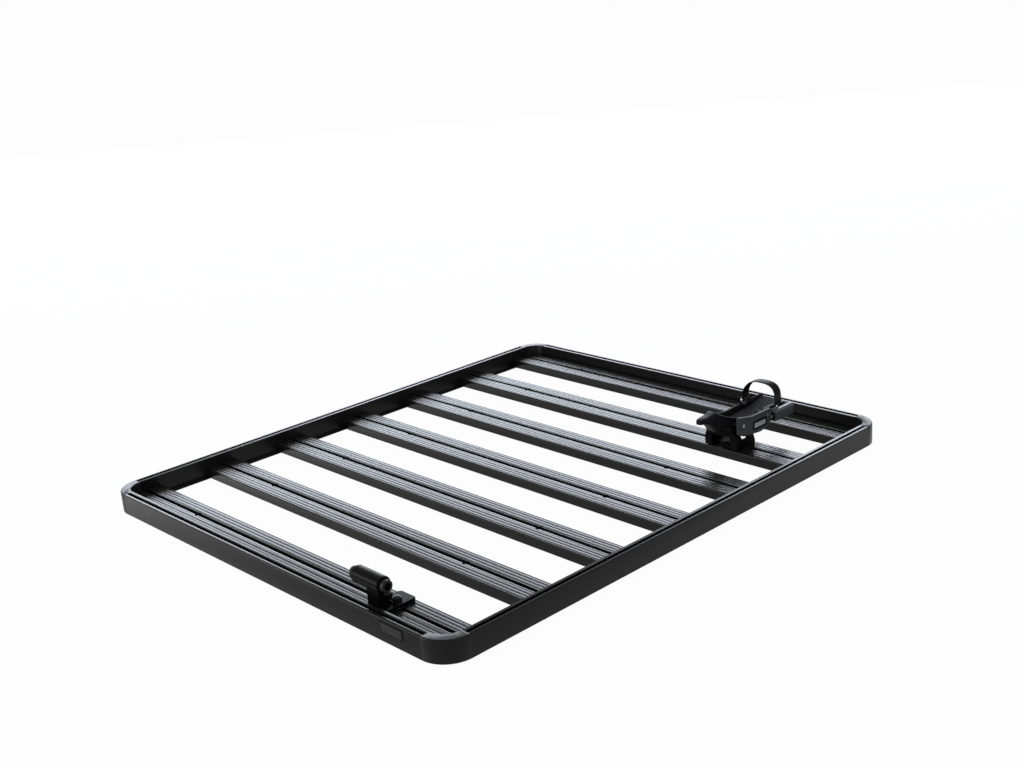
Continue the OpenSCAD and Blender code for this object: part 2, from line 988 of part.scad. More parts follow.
// Hooked lip in front of the trough
module prow() {
    intersection() {
        linear_extrude(rim_top_z)
            prow_plan();
        translate([-prow_w / 2, 0, 0])
            side_plate(prow_w)
                polygon([
                    [-trough_front + trough_wall, lip_low_z],
                    [-trough_front + trough_wall, rim_top_z],
                    [prow_tip_y + lip_back, rim_top_z],
                    [prow_tip_y, rim_top_z - lip_brow],
                    [prow_tip_y, rim_top_z - lip_drop],
                    [-trough_front - prow_len * lip_mid_share, rim_top_z - lip_t],
                    [-trough_front - prow_len * lip_root_share, chin_z + lip_root_rise],
                    [-trough_front, lip_low_z]
                ]);
    }
}

// Lug under the trough that turns on the tilt rod
module lug() {
    side_plate(lug_t)
        union() {
            translate([tilt_y, tilt_z])
                circle(lug_boss_r);
            translate([tilt_y - lug_boss_r, tilt_z])
                square([2 * lug_boss_r, floor_z - tilt_z - liner_t / 2]);
        }
}

// Rib under the floor in front of the lugs, over the knob
module keel() {
    translate([-lug_x - lug_t, 0, 0])
        side_plate(2 * (lug_x + lug_t))
            polygon([
                [-keel_front, floor_z - keel_front_drop],
                [tilt_y - lug_boss_r + over, floor_z - keel_drop],
                [tilt_y - lug_boss_r + over, floor_z - liner_t / 2],
                [-keel_front, floor_z + keel_rise]
            ]);
}

// Flat land on the trough's side for the ratchet or the anchor
module land() {
    translate([trough_w / 2 + land_out - land_in, land_front, land_low])
        cube([land_in, land_len, land_h]);
}

module at_standoffs() {
    for (place = [standoff_front, standoff_rear])
        translate([0, place, slat_top + standoff_h])
            children();
}

module at_frame_screws() {
    for (place_share = [frame_screw_share, 1 - frame_screw_share])
        translate([plate_x, land_front + place_share * land_len, land_mid_z])
            rotate([0, -90, 0])
                children();
}

module at_rivets() {
    for (side = [-1, 1])
        translate([-plate_x, strap_y + side * rivet_pitch / 2, land_mid_z])
            rotate([0, 90, 0])
                children();
}

module frame_screw(gap = 0) {
    countersunk(small_screw_r, small_head_r, small_head_h, plate_t + small_screw_depth + gap, gap);
}

// Room for the strap's eye and the anchor's ears over the trough's rim
module anchor_room() {
    translate([-plate_x - over, frame_front - side_gap, anchor_z - eye_r - side_gap])
        cube([
            anchor_x + plate_x + eye_r + over + side_gap,
            anchor_rear - frame_front + 2 * side_gap,
            rim_top_z
        ]);
}

module cradle_trough() {
    color([0.04, 0.04, 0.05])
        at_cradle()
            difference() {
                union() {
                    intersection() {
                        linear_extrude(rim_top_z)
                            trough_plan(0, trough_rear);
                        translate([-trough_w / 2, 0, 0])
                            side_plate(trough_w)
                                trough_side();
                    }
                    prow();
                    translate([lug_x, 0, 0]) lug();
                    translate([-lug_x - lug_t, 0, 0]) lug();
                    keel();
                    land();
                    mirror([1, 0, 0]) land();
                    at_standoffs()
                        translate([cover_x / 2 + lug_x / 2, 0, 0])
                            x_rod(standoff_r, cover_x - lug_x);
                }
                intersection() {
                    linear_extrude(rim_top_z + 2 * over)
                        trough_plan(trough_wall, trough_rear + over);
                    translate([-trough_w / 2, 0, 0])
                        side_plate(trough_w)
                            over_floor(0);
                }
                translate([0, tilt_y, tilt_z])
                    x_rod(rod_r + turn_gap, 2 * (lug_x + lug_t + over));
                at_standoffs()
                    translate([cover_x - small_screw_len / 2, 0, 0])
                        x_rod(small_screw_r + seat_gap, small_screw_len + 2 * over);
                at_frame_screws() frame_screw(seat_gap);
                at_rivets()
                    cylinder(h = rivet_len + seat_gap, r = rivet_r + seat_gap);
                anchor_room();
            }
}

module tyre_liner() {
    color([0.09, 0.09, 0.09])
        at_cradle()
            intersection() {
                linear_extrude(rim_top_z)
                    intersection() {
                        trough_plan(trough_wall + liner_clearance, trough_rear - liner_rear_inset);
                        translate([-trough_w / 2, -trough_front * liner_front_share])
                            square([trough_w, trough_front + trough_rear]);
                    }
                translate([-trough_w / 2, 0, 0])
                    side_plate(trough_w)
                        difference() {
                            over_floor(liner_clearance);
                            over_floor(liner_clearance + liner_t);
                        }
            }
}

// Cover on the near side of the trough, with a bare recess
cover_rear = cover_len - cover_front;
recess_front = cover_rear - cover_len / 2 - recess_back;
module side_cover() {
    color([0.2, 0.21, 0.22])
        at_cradle()
            difference() {
                translate([cover_x, 0, 0])
                    side_plate(cover_t)
                        polygon([
                            [-cover_front, cover_low],
                            [cover_rear - cover_belly_len, cover_low - cover_belly],
                            [cover_rear - cover_belly, cover_low],
                            [cover_rear, cover_low + cover_belly],
                            [cover_rear, cover_low + cover_h],
                            [cover_sweep - cover_front, cover_low + cover_h],
                            [-cover_front, cover_low + cover_h + cover_rise]
                        ]);
                translate([cover_x + cover_t - recess_d, recess_front, cover_low + cover_belly / 2])
                    cube([recess_d + over, recess_len, recess_h]);
                at_standoffs()
                    translate([cover_x + cover_t, 0, 0])
                        rotate([0, -90, 0])
                            cover_screw_cut();
            }
}

module cover_screw_cut() {
    translate([0, 0, -over])
        cylinder(h = over + seat_gap, r = small_head_r + seat_gap);
    countersunk(small_screw_r, small_head_r, small_head_h, cover_t + over, seat_gap);
}

module cover_screws() {
    color([0.55, 0.55, 0.57])
        at_cradle()
            at_standoffs()
                translate([cover_x + cover_t, 0, 0])
                    rotate([0, -90, 0])
                        countersunk(small_screw_r, small_head_r, small_head_h,
                                    cover_t + small_screw_len - small_screw_tip_gap);
}

// Outline in the x, z plane, extruded along y from y = from to y = to
module y_plate(from, to) {
    translate([0, to, 0])
        rotate([90, 0, 0])
            linear_extrude(to - from)
                children();
}

// Frame of the ratchet: a plate on the trough's land with an ear at each end
module ratchet_frame() {
    color([0.07, 0.07, 0.07])
        at_cradle()
            difference() {
                union() {
                    translate([land_x, frame_front, frame_low])
                        cube([plate_t, frame_rear - frame_front, frame_top - frame_low]);
                    for (from = [frame_front, frame_rear - ear_t])
                        y_plate(from, from + ear_t) {
                            translate([paddle_x, paddle_z])
                                circle(ear_r);
                            translate([land_x, paddle_z - ear_r])
                                square([paddle_x - land_x, 2 * ear_r]);
                        }
                }
                translate([paddle_x, frame_front - over, paddle_z])
                    y_rod(paddle_pin_r + seat_gap, frame_rear - frame_front + 2 * over);
                at_frame_screws() {
                    translate([0, 0, -over])
                        cylinder(h = over + seat_gap, r = small_head_r + seat_gap);
                    frame_screw(seat_gap);
                }
            }
}

module frame_screws() {
    color([0.55, 0.55, 0.57])
        at_cradle()
            at_frame_screws() frame_screw();
}

module paddle_pin() {
    color([0.6, 0.6, 0.62])
        at_cradle()
            translate([paddle_x, frame_front, paddle_z])
                y_rod(paddle_pin_r, frame_rear - frame_front);
}

// Release paddle: a handle with a nose that locks the strap's teeth
nose_x = tail_x + strap_t / 2 + tooth_h + nose_gap;
nose_z = tail_bottom - nose_drop;
module release_paddle() {
    color([0.08, 0.08, 0.08])
        at_cradle()
            difference() {
                union() {
                    y_plate(paddle_front, paddle_rear)
                        translate([paddle_x - paddle_back, paddle_z - paddle_low])
                            polygon([
                                [0, 0],
                                [paddle_t - paddle_bevel, 0],
                                [paddle_t, paddle_bevel],
                                [paddle_t, paddle_h - paddle_bevel],
                                [paddle_t - paddle_bevel, paddle_h],
                                [0, paddle_h]
                            ]);
                    translate([paddle_x, frame_front + ear_t + side_gap, paddle_z])
                        y_rod(hub_r, paddle_rear - frame_front - ear_t - side_gap);
                    y_plate(strap_y - strap_w / 2, strap_y + strap_w / 2)
                        polygon([
                            [paddle_x - hub_r, paddle_z],
                            [paddle_x + hub_r, paddle_z],
                            [nose_x + nose_t, nose_z + nose_h],
                            [nose_x, nose_z + nose_h],
                            [nose_x, nose_z]
                        ]);
                }
                translate([paddle_x, frame_front, paddle_z])
                    y_rod(paddle_pin_r + turn_gap, frame_rear - frame_front);
                translate([paddle_x, paddle_rear - spring_len - 2 * side_gap, paddle_z])
                    y_rod(paddle_pin_r + spring_wire + 2 * side_gap, spring_len + 2 * side_gap + over);
            }
}

// Return spring of the paddle, wound closely round the pin
module paddle_spring() {
    color([0.6, 0.6, 0.62])
        at_cradle()
            translate([paddle_x, paddle_rear - spring_len - side_gap, paddle_z])
                difference() {
                    y_rod(paddle_pin_r + turn_gap + spring_wire, spring_len);
                    translate([0, -over, 0])
                        y_rod(paddle_pin_r + turn_gap, spring_len + 2 * over);
                }
}

// Anchor of the strap: a plate on the far land with two ears for the pin
ear_low = anchor_z - eye_r;
module strap_anchor() {
    color([0.07, 0.07, 0.07])
        at_cradle()
            difference() {
                union() {
                    translate([-plate_x, frame_front, land_mid_z - anchor_plate_h / 2])
                        cube([plate_t, anchor_rear - frame_front, anchor_plate_h]);
                    for (from = [frame_front, anchor_rear - ear_t])
                        y_plate(from, from + ear_t)
                            polygon([
                                [-plate_x, land_mid_z],
                                [-land_x, land_mid_z],
                                [-land_x, ear_low],
                                [anchor_x + eye_r, ear_low],
                                [anchor_x + eye_r, anchor_z + anchor_ear_h],
                                [-plate_x, anchor_z + anchor_ear_h]
                            ]);
                }
                translate([anchor_x, frame_front - over, anchor_z])
                    y_rod(strap_pin_r + seat_gap, anchor_rear - frame_front + 2 * over);
                at_rivets()
                    translate([0, 0, -over])
                        cylinder(h = plate_t + 2 * over, r = rivet_r + seat_gap);
            }
}

module anchor_rivets() {
    color([0.55, 0.55, 0.57])
        at_cradle()
            at_rivets() {
                cylinder(h = rivet_len, r = rivet_r);
                translate([0, 0, -rivet_head_h])
                    cylinder(h = rivet_head_h, r = rivet_head_r);
            }
}

module strap_anchor_pin() {
    color([0.6, 0.6, 0.62])
        at_cradle()
            translate([anchor_x, frame_front, anchor_z])
                y_rod(strap_pin_r, anchor_rear - frame_front);
}

// Strap in the x, z plane: eye, leg, half loop, neck and toothed tail
module strap_band() {
    difference() {
        union() {
            intersection() {
                difference() {
                    translate([loop_x, loop_z])
                        circle(strap_r + strap_t / 2, $fn = 120);
                    translate([loop_x, loop_z])
                        circle(strap_r - strap_t / 2, $fn = 120);
                }
                translate([anchor_x - strap_t, loop_z])
                    square([2 * (strap_r + strap_t), strap_r + strap_t]);
            }
            translate([anchor_x - strap_t / 2, anchor_z])
                square([strap_t, strap_drop]);
            translate([anchor_x, anchor_z])
                circle(eye_r);
            polygon([
                [loop_x + strap_r + strap_t / 2, loop_z],
                [loop_x + strap_r - strap_t / 2, loop_z],
                [tail_x - strap_t / 2, tail_top + strap_t / 2],
                [tail_x - strap_t / 2, tail_bottom],
                [tail_x + strap_t / 2, tail_bottom],
                [tail_x + strap_t / 2, tail_top - strap_t / 2]
            ]);
            for (n = [0 : floor(tail_len / tooth_pitch) - 1])
                translate([tail_x + strap_t / 2 - tooth_h, tail_bottom + n * tooth_pitch])
                    square([2 * tooth_h, tooth_w]);
        }
        translate([anchor_x, anchor_z])
            circle(strap_pin_r + turn_gap);
    }
}

module wheel_strap() {
    color([0.07, 0.07, 0.07])
        at_cradle()
            y_plate(strap_y - strap_w / 2, strap_y + strap_w / 2)
                strap_band();
}

module slat_1() { slat(1); }
module slat_2() { slat(2); }
module slat_3() { slat(3); }
module slat_4() { slat(4); }
module slat_5() { slat(5); }
module slat_6() { slat(6); }
module slat_7() { slat(7); }

front_rail();
rear_rail();
left_rail();
right_rail();
front_left_corner();
front_right_corner();
rear_left_corner();
rear_right_corner();
slat_1();
slat_2();
slat_3();
slat_4();
slat_5();
slat_6();
slat_7();
slat_screws();
slat_nuts();
corner_screws();
fork_mount_body();
fork_axle_sleeve();
fork_ring_left();
fork_ring_right();
fork_base_pad();
fork_t_bolts();
fork_washers();
fork_cap_nuts();
cradle_base();
cradle_base_pad();
cradle_slot_keys();
cradle_t_bolt();
cradle_washer();
cradle_knob();
tilt_rod();
cradle_trough();
tyre_liner();
side_cover();
cover_screws();
ratchet_frame();
frame_screws();
release_paddle();
paddle_pin();
paddle_spring();
strap_anchor();
anchor_rivets();
strap_anchor_pin();
wheel_strap();
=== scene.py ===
"""Roof tray with a fork mount and a rear wheel cradle, dressed for its picture.

The shapes below are written in millimetres, in the frame of the CAD model: X across the tray along
its slats, Y along its length with the fork mount at the -Y end, Z up from the underside of the
rails. Each piece is made of closed shells worked out on grids, and is scaled to metres at the end.
"""

import math

import bmesh
import bpy
import numpy as np
from mathutils import Matrix, Vector


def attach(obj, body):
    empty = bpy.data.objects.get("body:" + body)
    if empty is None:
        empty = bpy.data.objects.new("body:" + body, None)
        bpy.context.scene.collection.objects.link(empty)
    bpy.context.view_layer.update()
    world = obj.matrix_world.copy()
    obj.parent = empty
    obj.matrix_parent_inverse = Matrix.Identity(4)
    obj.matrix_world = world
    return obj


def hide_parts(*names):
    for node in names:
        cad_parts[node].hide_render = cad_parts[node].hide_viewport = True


MM = 0.001
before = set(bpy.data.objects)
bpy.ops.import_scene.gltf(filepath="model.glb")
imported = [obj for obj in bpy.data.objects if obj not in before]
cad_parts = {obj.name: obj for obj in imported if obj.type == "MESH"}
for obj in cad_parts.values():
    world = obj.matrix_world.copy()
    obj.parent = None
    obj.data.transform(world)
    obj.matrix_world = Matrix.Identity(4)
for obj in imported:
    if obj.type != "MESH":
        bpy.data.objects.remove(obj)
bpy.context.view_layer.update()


# Camera: it stands where the photograph was taken from, fitted to the tray's straight edges.
AZIMUTH = math.radians(47.172)
ELEVATION = math.radians(18.353)
ROLL = math.radians(-4.307)
DISTANCE = 3.793878
AIM = Vector((-0.416283, 0.486277, 0.0))
FOCAL_PIXELS = 1375.831
CENTRE_PIXEL_X = 527.379
PICTURE_WIDTH = 1024

# Stage: to rays that see the background, this share of the floor is plain white, and the rest is
# paint that keeps the shadow. Its half size and its height are in metres. SKY is the strength of
# the sky's light on the object.
FLOOR_GLOW = 0.96
FLOOR_HALF_SIZE = 60.0
FLOOR_Z = -0.0005
SKY = 0.5


def add_camera():
    """Camera whose axes are the fitted view's right, up and backward directions."""
    back = Vector((math.sin(AZIMUTH) * math.cos(ELEVATION),
                   -math.cos(AZIMUTH) * math.cos(ELEVATION),
                   math.sin(ELEVATION)))
    right = Vector((math.cos(AZIMUTH), math.sin(AZIMUTH), 0.0))
    up = back.cross(right)
    rolled_right = math.cos(ROLL) * right + math.sin(ROLL) * up
    rolled_up = math.cos(ROLL) * up - math.sin(ROLL) * right
    data = bpy.data.cameras.new("camera")
    data.sensor_width = 36.0
    data.lens = FOCAL_PIXELS * data.sensor_width / PICTURE_WIDTH
    data.shift_x = (PICTURE_WIDTH / 2 - CENTRE_PIXEL_X) / PICTURE_WIDTH
    data.clip_start = 0.05
    data.clip_end = 200.0
    camera = bpy.data.objects.new("camera", data)
    bpy.context.scene.collection.objects.link(camera)
    turn = Matrix((rolled_right, rolled_up, back)).transposed().to_4x4()
    camera.matrix_world = Matrix.Translation(AIM + back * DISTANCE) @ turn
    bpy.context.scene.camera = camera


def linear(hex_colour):
    """sRGB hex text to a linear RGBA colour."""
    values = [int(hex_colour[i:i + 2], 16) / 255 for i in (0, 2, 4)]
    return [v / 12.92 if v <= 0.04045 else ((v + 0.055) / 1.055) ** 2.4 for v in values] + [1.0]


def add_node(tree, kind, settings=None, links=None):
    """Adds a node, sets its properties or input values, and links its named inputs."""
    node = tree.nodes.new(kind)
    for name, value in (settings or {}).items():
        if isinstance(name, str) and hasattr(node, name):
            setattr(node, name, value)
        else:
            node.inputs[name].default_value = value
    for name, socket in (links or {}).items():
        tree.links.new(socket, node.inputs[name])
    return node


def new_material(name, colour, **sockets):
    """Node material with a Principled shader; sockets gives its plain values by name."""
    material = bpy.data.materials.new(name)
    material.use_nodes = True
    material.diffuse_color = linear(colour)
    tree = material.node_tree
    tree.nodes.clear()
    shader = add_node(tree, "ShaderNodeBsdfPrincipled", {"Base Color": linear(colour)})
    for socket, value in sockets.items():
        shader.inputs[socket.replace("_", " ")].default_value = value
    add_node(tree, "ShaderNodeOutputMaterial", links={"Surface": shader.outputs["BSDF"]})
    return material, tree, shader


def background_rays(tree):
    """1 for camera, glossy and transmission rays, which see the background as plain white."""
    rays = add_node(tree, "ShaderNodeLightPath")
    mirrored = add_node(tree, "ShaderNodeMath", {"operation": "MAXIMUM"},
                        {0: rays.outputs["Is Camera Ray"], 1: rays.outputs["Is Glossy Ray"]})
    return add_node(tree, "ShaderNodeMath", {"operation": "MAXIMUM"},
                    {0: mirrored.outputs[0], 1: rays.outputs["Is Transmission Ray"]}).outputs[0]


def add_stage():
    """White floor that keeps a faint shadow, under an even white sky."""
    material = bpy.data.materials.new("matte white studio floor")
    material.use_nodes = True
    tree = material.node_tree
    tree.nodes.clear()
    paint = add_node(tree, "ShaderNodeBsdfDiffuse", {"Color": linear("F4F4F4")})
    glow = add_node(tree, "ShaderNodeEmission", {"Color": linear("FFFFFF"), "Strength": 1.0})
    share = add_node(tree, "ShaderNodeMath", {"operation": "MULTIPLY", 1: FLOOR_GLOW},
                     {0: background_rays(tree)})
    mix = add_node(tree, "ShaderNodeMixShader",
                   links={0: share.outputs[0], 1: paint.outputs[0], 2: glow.outputs[0]})
    add_node(tree, "ShaderNodeOutputMaterial", links={"Surface": mix.outputs[0]})
    mesh = bpy.data.meshes.new("floor")
    half = FLOOR_HALF_SIZE
    corners = [(-half, -half, 0), (half, -half, 0), (half, half, 0), (-half, half, 0)]
    mesh.from_pydata(corners, [], [(0, 1, 2, 3)])
    mesh.materials.append(material)
    floor = bpy.data.objects.new("floor", mesh)
    bpy.context.scene.collection.objects.link(floor)
    floor.location.z = FLOOR_Z

    world = bpy.data.worlds.new("white studio")
    bpy.context.scene.world = world
    world.use_nodes = True
    tree = world.node_tree
    tree.nodes.clear()
    sky = add_node(tree, "ShaderNodeBackground", {"Color": linear("FFFFFF"), "Strength": SKY})
    white = add_node(tree, "ShaderNodeBackground", {"Color": linear("FFFFFF"), "Strength": 1.0})
    mix = add_node(tree, "ShaderNodeMixShader",
                   links={0: background_rays(tree), 1: sky.outputs[0], 2: white.outputs[0]})
    add_node(tree, "ShaderNodeOutputWorld", links={"Surface": mix.outputs[0]})


def add_softbox(name, place, aim, width, height, power, colour):
    """Area lamp at a place, turned towards its aim."""
    data = bpy.data.lights.new(name, "AREA")
    data.shape = "RECTANGLE"
    data.size = width
    data.size_y = height
    data.energy = power
    data.color = linear(colour)[:3]
    lamp = bpy.data.objects.new(name, data)
    bpy.context.scene.collection.objects.link(lamp)
    lamp.location = Vector(place)
    lamp.rotation_mode = "QUATERNION"
    lamp.rotation_quaternion = (Vector(aim) - Vector(place)).to_track_quat("-Z", "Y")


def coated_metal(name, colour, roughness, level, grain_mm=0.5, bump=0.06):
    """Black powder coat, a baked resin film on aluminium: semi-gloss, with a fine orange peel that
    spreads its reflections, and a slight unevenness of its gloss over hand-widths. Its matting agent
    takes most of the reflection away where the eye meets it straight on, hence the low level."""
    material, tree, shader = new_material(name, colour, IOR=1.38, Specular_IOR_Level=level)
    place = add_node(tree, "ShaderNodeTexCoord")
    peel = add_node(tree, "ShaderNodeTexNoise", {"Scale": 1.0 / (grain_mm * MM), "Detail": 2.0},
                    {"Vector": place.outputs["Object"]})
    height = add_node(tree, "ShaderNodeBump", {"Strength": bump, "Distance": 0.04 * MM},
                      {"Height": peel.outputs["Fac"]})
    tree.links.new(height.outputs["Normal"], shader.inputs["Normal"])
    patch = add_node(tree, "ShaderNodeTexNoise", {"Scale": 1.0 / (60 * MM), "Detail": 3.0},
                     {"Vector": place.outputs["Object"]})
    gloss = add_node(tree, "ShaderNodeMapRange", {"To Min": roughness - 0.03, "To Max": roughness + 0.03},
                     {"Value": patch.outputs["Fac"]})
    tree.links.new(gloss.outputs["Result"], shader.inputs["Roughness"])
    return material


def moulded_plastic(name, colour, second, roughness, level, grain_mm=0.8, bump=0.2):
    """Injection moulded glass-filled nylon: a spark-eroded tool leaves an even fine leather-like
    grain, the flow of the melt leaves faint cloudy streaks, and raised grain shines a little."""
    material, tree, shader = new_material(name, colour, IOR=1.45, Specular_IOR_Level=level)
    place = add_node(tree, "ShaderNodeTexCoord")
    grain = add_node(tree, "ShaderNodeTexNoise",
                     {"Scale": 1.0 / (grain_mm * MM), "Detail": 3.0, "Roughness": 0.6},
                     {"Vector": place.outputs["Object"]})
    height = add_node(tree, "ShaderNodeBump", {"Strength": bump, "Distance": 0.08 * MM},
                      {"Height": grain.outputs["Fac"]})
    tree.links.new(height.outputs["Normal"], shader.inputs["Normal"])
    flow = add_node(tree, "ShaderNodeTexNoise",
                    {"Scale": 1.0 / (25 * MM), "Detail": 4.0, "Distortion": 1.2},
                    {"Vector": place.outputs["Object"]})
    # In a mix of colours, input 0 is the share, inputs 6 and 7 the two colours, output 2 the result.
    tint = add_node(tree, "ShaderNodeMix", {"data_type": "RGBA", "blend_type": "MIX"})
    tree.links.new(flow.outputs["Fac"], tint.inputs[0])
    tint.inputs[6].default_value = linear(colour)
    tint.inputs[7].default_value = linear(second)
    tree.links.new(tint.outputs[2], shader.inputs["Base Color"])
    gloss = add_node(tree, "ShaderNodeMapRange", {"To Min": roughness + 0.06, "To Max": roughness - 0.04},
                     {"Value": grain.outputs["Fac"]})
    tree.links.new(gloss.outputs["Result"], shader.inputs["Roughness"])
    return material


def plated_steel(name, colour, roughness, turning_mm=0.5):
    """Turned or drawn steel under a thin bright zinc plating: fine rings from the tool and a
    slightly cloudy passivation. In other tones it serves for the blackened sleeve and the bare
    aluminium plate."""
    material, tree, shader = new_material(name, colour, Metallic=1.0)
    place = add_node(tree, "ShaderNodeTexCoord")
    rings = add_node(tree, "ShaderNodeTexNoise", {"Scale": 1.0 / (turning_mm * MM), "Detail": 1.0},
                     {"Vector": place.outputs["Object"]})
    height = add_node(tree, "ShaderNodeBump", {"Strength": 0.15, "Distance": 0.02 * MM},
                      {"Height": rings.outputs["Fac"]})
    tree.links.new(height.outputs["Normal"], shader.inputs["Normal"])
    cloud = add_node(tree, "ShaderNodeTexNoise", {"Scale": 1.0 / (7 * MM), "Detail": 3.0},
                     {"Vector": place.outputs["Object"]})
    gloss = add_node(tree, "ShaderNodeMapRange", {"To Min": roughness - 0.06, "To Max": roughness + 0.08},
                     {"Value": cloud.outputs["Fac"]})
    tree.links.new(gloss.outputs["Result"], shader.inputs["Roughness"])
    return material


def rubber(name, colour):
    """Pressed EPDM rubber: deep black, dull, with a dusty bloom and a fine moulded tooth."""
    material, tree, shader = new_material(name, colour, IOR=1.5, Specular_IOR_Level=0.25)
    place = add_node(tree, "ShaderNodeTexCoord")
    tooth = add_node(tree, "ShaderNodeTexVoronoi", {"Scale": 1.0 / (0.9 * MM)},
                     {"Vector": place.outputs["Object"]})
    height = add_node(tree, "ShaderNodeBump", {"Strength": 0.3, "Distance": 0.1 * MM},
                      {"Height": tooth.outputs["Distance"]})
    tree.links.new(height.outputs["Normal"], shader.inputs["Normal"])
    bloom = add_node(tree, "ShaderNodeTexNoise", {"Scale": 1.0 / (18 * MM), "Detail": 4.0},
                     {"Vector": place.outputs["Object"]})
    gloss = add_node(tree, "ShaderNodeMapRange", {"To Min": 0.62, "To Max": 0.85},
                     {"Value": bloom.outputs["Fac"]})
    tree.links.new(gloss.outputs["Result"], shader.inputs["Roughness"])
    return material


def shell(points, faces):
    """Closed shell with its faces outwards: they are turned over where the volume that they
    enclose, summed as a fan of tetrahedra from each face, comes out negative."""
    points = np.asarray(points, float)
    volume = 0.0
    for rows in faces:
        first, second, third = points[rows[:, :1]], points[rows[:, 1:-1]], points[rows[:, 2:]]
        volume += (first * np.cross(second, third)).sum()
    return points, [rows[:, ::-1] for rows in faces] if volume < 0 else faces


def skin(rows, ring=False):
    """Closed surface through rows of points, each row a closed loop: neighbouring rows are joined
    by four-sided faces; the first and last rows are filled, or joined to each other for a ring."""
    rows = np.asarray(rows, float)
    index = np.arange(rows.shape[0] * rows.shape[1]).reshape(rows.shape[:2])
    low = index if ring else index[:-1]
    high = np.roll(index, -1, axis=0) if ring else index[1:]
    walls = np.stack([low, np.roll(low, -1, axis=1), np.roll(high, -1, axis=1), high], axis=-1)
    ends = [] if ring else [index[:1, ::-1], index[-1:]]
    return shell(rows.reshape(-1, 3), [walls.reshape(-1, 4)] + ends)


def rounded(corners, radius, steps=6):
    """Outline whose corners are turned by arcs. Each arc starts radius * tan(turn / 2) before its
    corner and is centred one radius to the side that the outline turns to."""
    corners = np.asarray(corners, float)
    radius = np.broadcast_to(np.asarray(radius, float), len(corners))[:, None]
    before = corners - np.roll(corners, 1, axis=0)
    after = np.roll(corners, -1, axis=0) - corners
    before /= np.linalg.norm(before, axis=1, keepdims=True)
    after /= np.linalg.norm(after, axis=1, keepdims=True)
    cross = before[:, 0] * after[:, 1] - before[:, 1] * after[:, 0]
    turn = np.arctan2(cross, (before * after).sum(1))[:, None]
    side = np.stack([-before[:, 1], before[:, 0]], axis=1) * np.sign(turn)
    centre = corners - before * radius * np.tan(np.abs(turn) / 2) + side * radius
    angle = turn * np.linspace(0, 1, steps + 1)
    arm = -side * radius
    x = arm[:, :1] * np.cos(angle) - arm[:, 1:] * np.sin(angle)
    y = arm[:, :1] * np.sin(angle) + arm[:, 1:] * np.cos(angle)
    return (centre[:, None, :] + np.stack([x, y], axis=-1)).reshape(-1, 2)


def on_axes(axis, along, across):
    """Points from a distance along one axis and two coordinates across it: (y, z) for x, (x, z)
    for y and (x, y) for z."""
    along = np.broadcast_to(along, across.shape[:-1])
    order = {"x": (along, across[..., 0], across[..., 1]), "y": (across[..., 0], along, across[..., 1]),
             "z": (across[..., 0], across[..., 1], along)}[axis]
    return np.stack(order, axis=-1)


def prism(axis, outline, low, high):
    """Outline carried straight along an axis from low to high."""
    outline = np.asarray(outline, float)
    return skin(on_axes(axis, np.array([[low], [high]], float), np.stack([outline, outline])))


def lathe(axis, centre, profile, steps=64, ring=False, lobes=0.0, lobe_count=0):
    """Profile of (distance along the axis, radius) turned about the axis; the radius may swell
    and shrink round the turn by a share of itself, as a cosine of the lobe count."""
    profile = np.asarray(profile, float)
    angle = np.linspace(0, 2 * np.pi, steps, endpoint=False)
    radius = profile[:, 1:] * (1 + lobes * np.cos(lobe_count * angle))
    across = np.stack([centre[0] + radius * np.cos(angle), centre[1] + radius * np.sin(angle)], axis=-1)
    return skin(on_axes(axis, profile[:, :1], across), ring)


def superellipse(half_w, half_h, power, steps=48):
    """Loop x = half_w * |cos t| ^ (2 / power), z = half_h * |sin t| ^ (2 / power) with the signs of
    the cosine and sine: an ellipse at power 2, and a rectangle with soft corners at 4 to 8."""
    t = np.linspace(0, 2 * np.pi, steps, endpoint=False)
    x = np.sign(np.cos(t)) * np.abs(np.cos(t)) ** (2 / power)
    z = np.sign(np.sin(t)) * np.abs(np.sin(t)) ** (2 / power)
    return np.stack([np.multiply.outer(half_w, x), np.multiply.outer(half_h, z)], axis=-1)


def moved(shells, by):
    """Shells carried by an offset."""
    return [(points + np.asarray(by, float), faces) for points, faces in shells]


def piece(name, shells, body, finish, nodes=(), edge=0.0, voxel=0.0, settle=0):
    """One object from closed shells in millimetres. A voxel size melts overlapping shells into one
    casting, and settle smooths it, which leaves fillets where they met; edge is the width of the
    small round that the remaining sharp edges get."""
    offset, points, faces = 0, [], []
    for some, rows in shells:
        points.append(some)
        faces += [row for group in rows for row in (group + offset).tolist()]
        offset += len(some)
    mesh = bpy.data.meshes.new(name)
    mesh.from_pydata((np.concatenate(points) * MM).tolist(), [], faces)
    finished(name, mesh, body, finish, nodes, edge, voxel, settle)


def finished(name, mesh, body, finish, nodes, edge, voxel, settle):
    """Turns a mesh into a piece with its finishing modifiers, its finish and its body."""
    mesh.polygons.foreach_set("use_smooth", np.ones(len(mesh.polygons), bool))
    mesh.materials.append(finish)
    made = bpy.data.objects.new(name, mesh)
    bpy.context.scene.collection.objects.link(made)
    if voxel:
        melt = made.modifiers.new("melt", "REMESH")
        melt.mode = "VOXEL"
        melt.voxel_size = voxel * MM
        melt.use_smooth_shade = True
        relax = made.modifiers.new("settle", "SMOOTH")
        relax.factor = 0.5
        relax.iterations = settle
    elif edge:
        bevel = made.modifiers.new("edge", "BEVEL")
        bevel.width = edge * MM
        bevel.segments = 3
        bevel.limit_method = "ANGLE"
        bevel.angle_limit = math.radians(32)
        bevel.harden_normals = True
    else:
        mesh.set_sharp_from_angle(angle=math.radians(35))
    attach(made, body)
    if nodes:
        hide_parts(*nodes)


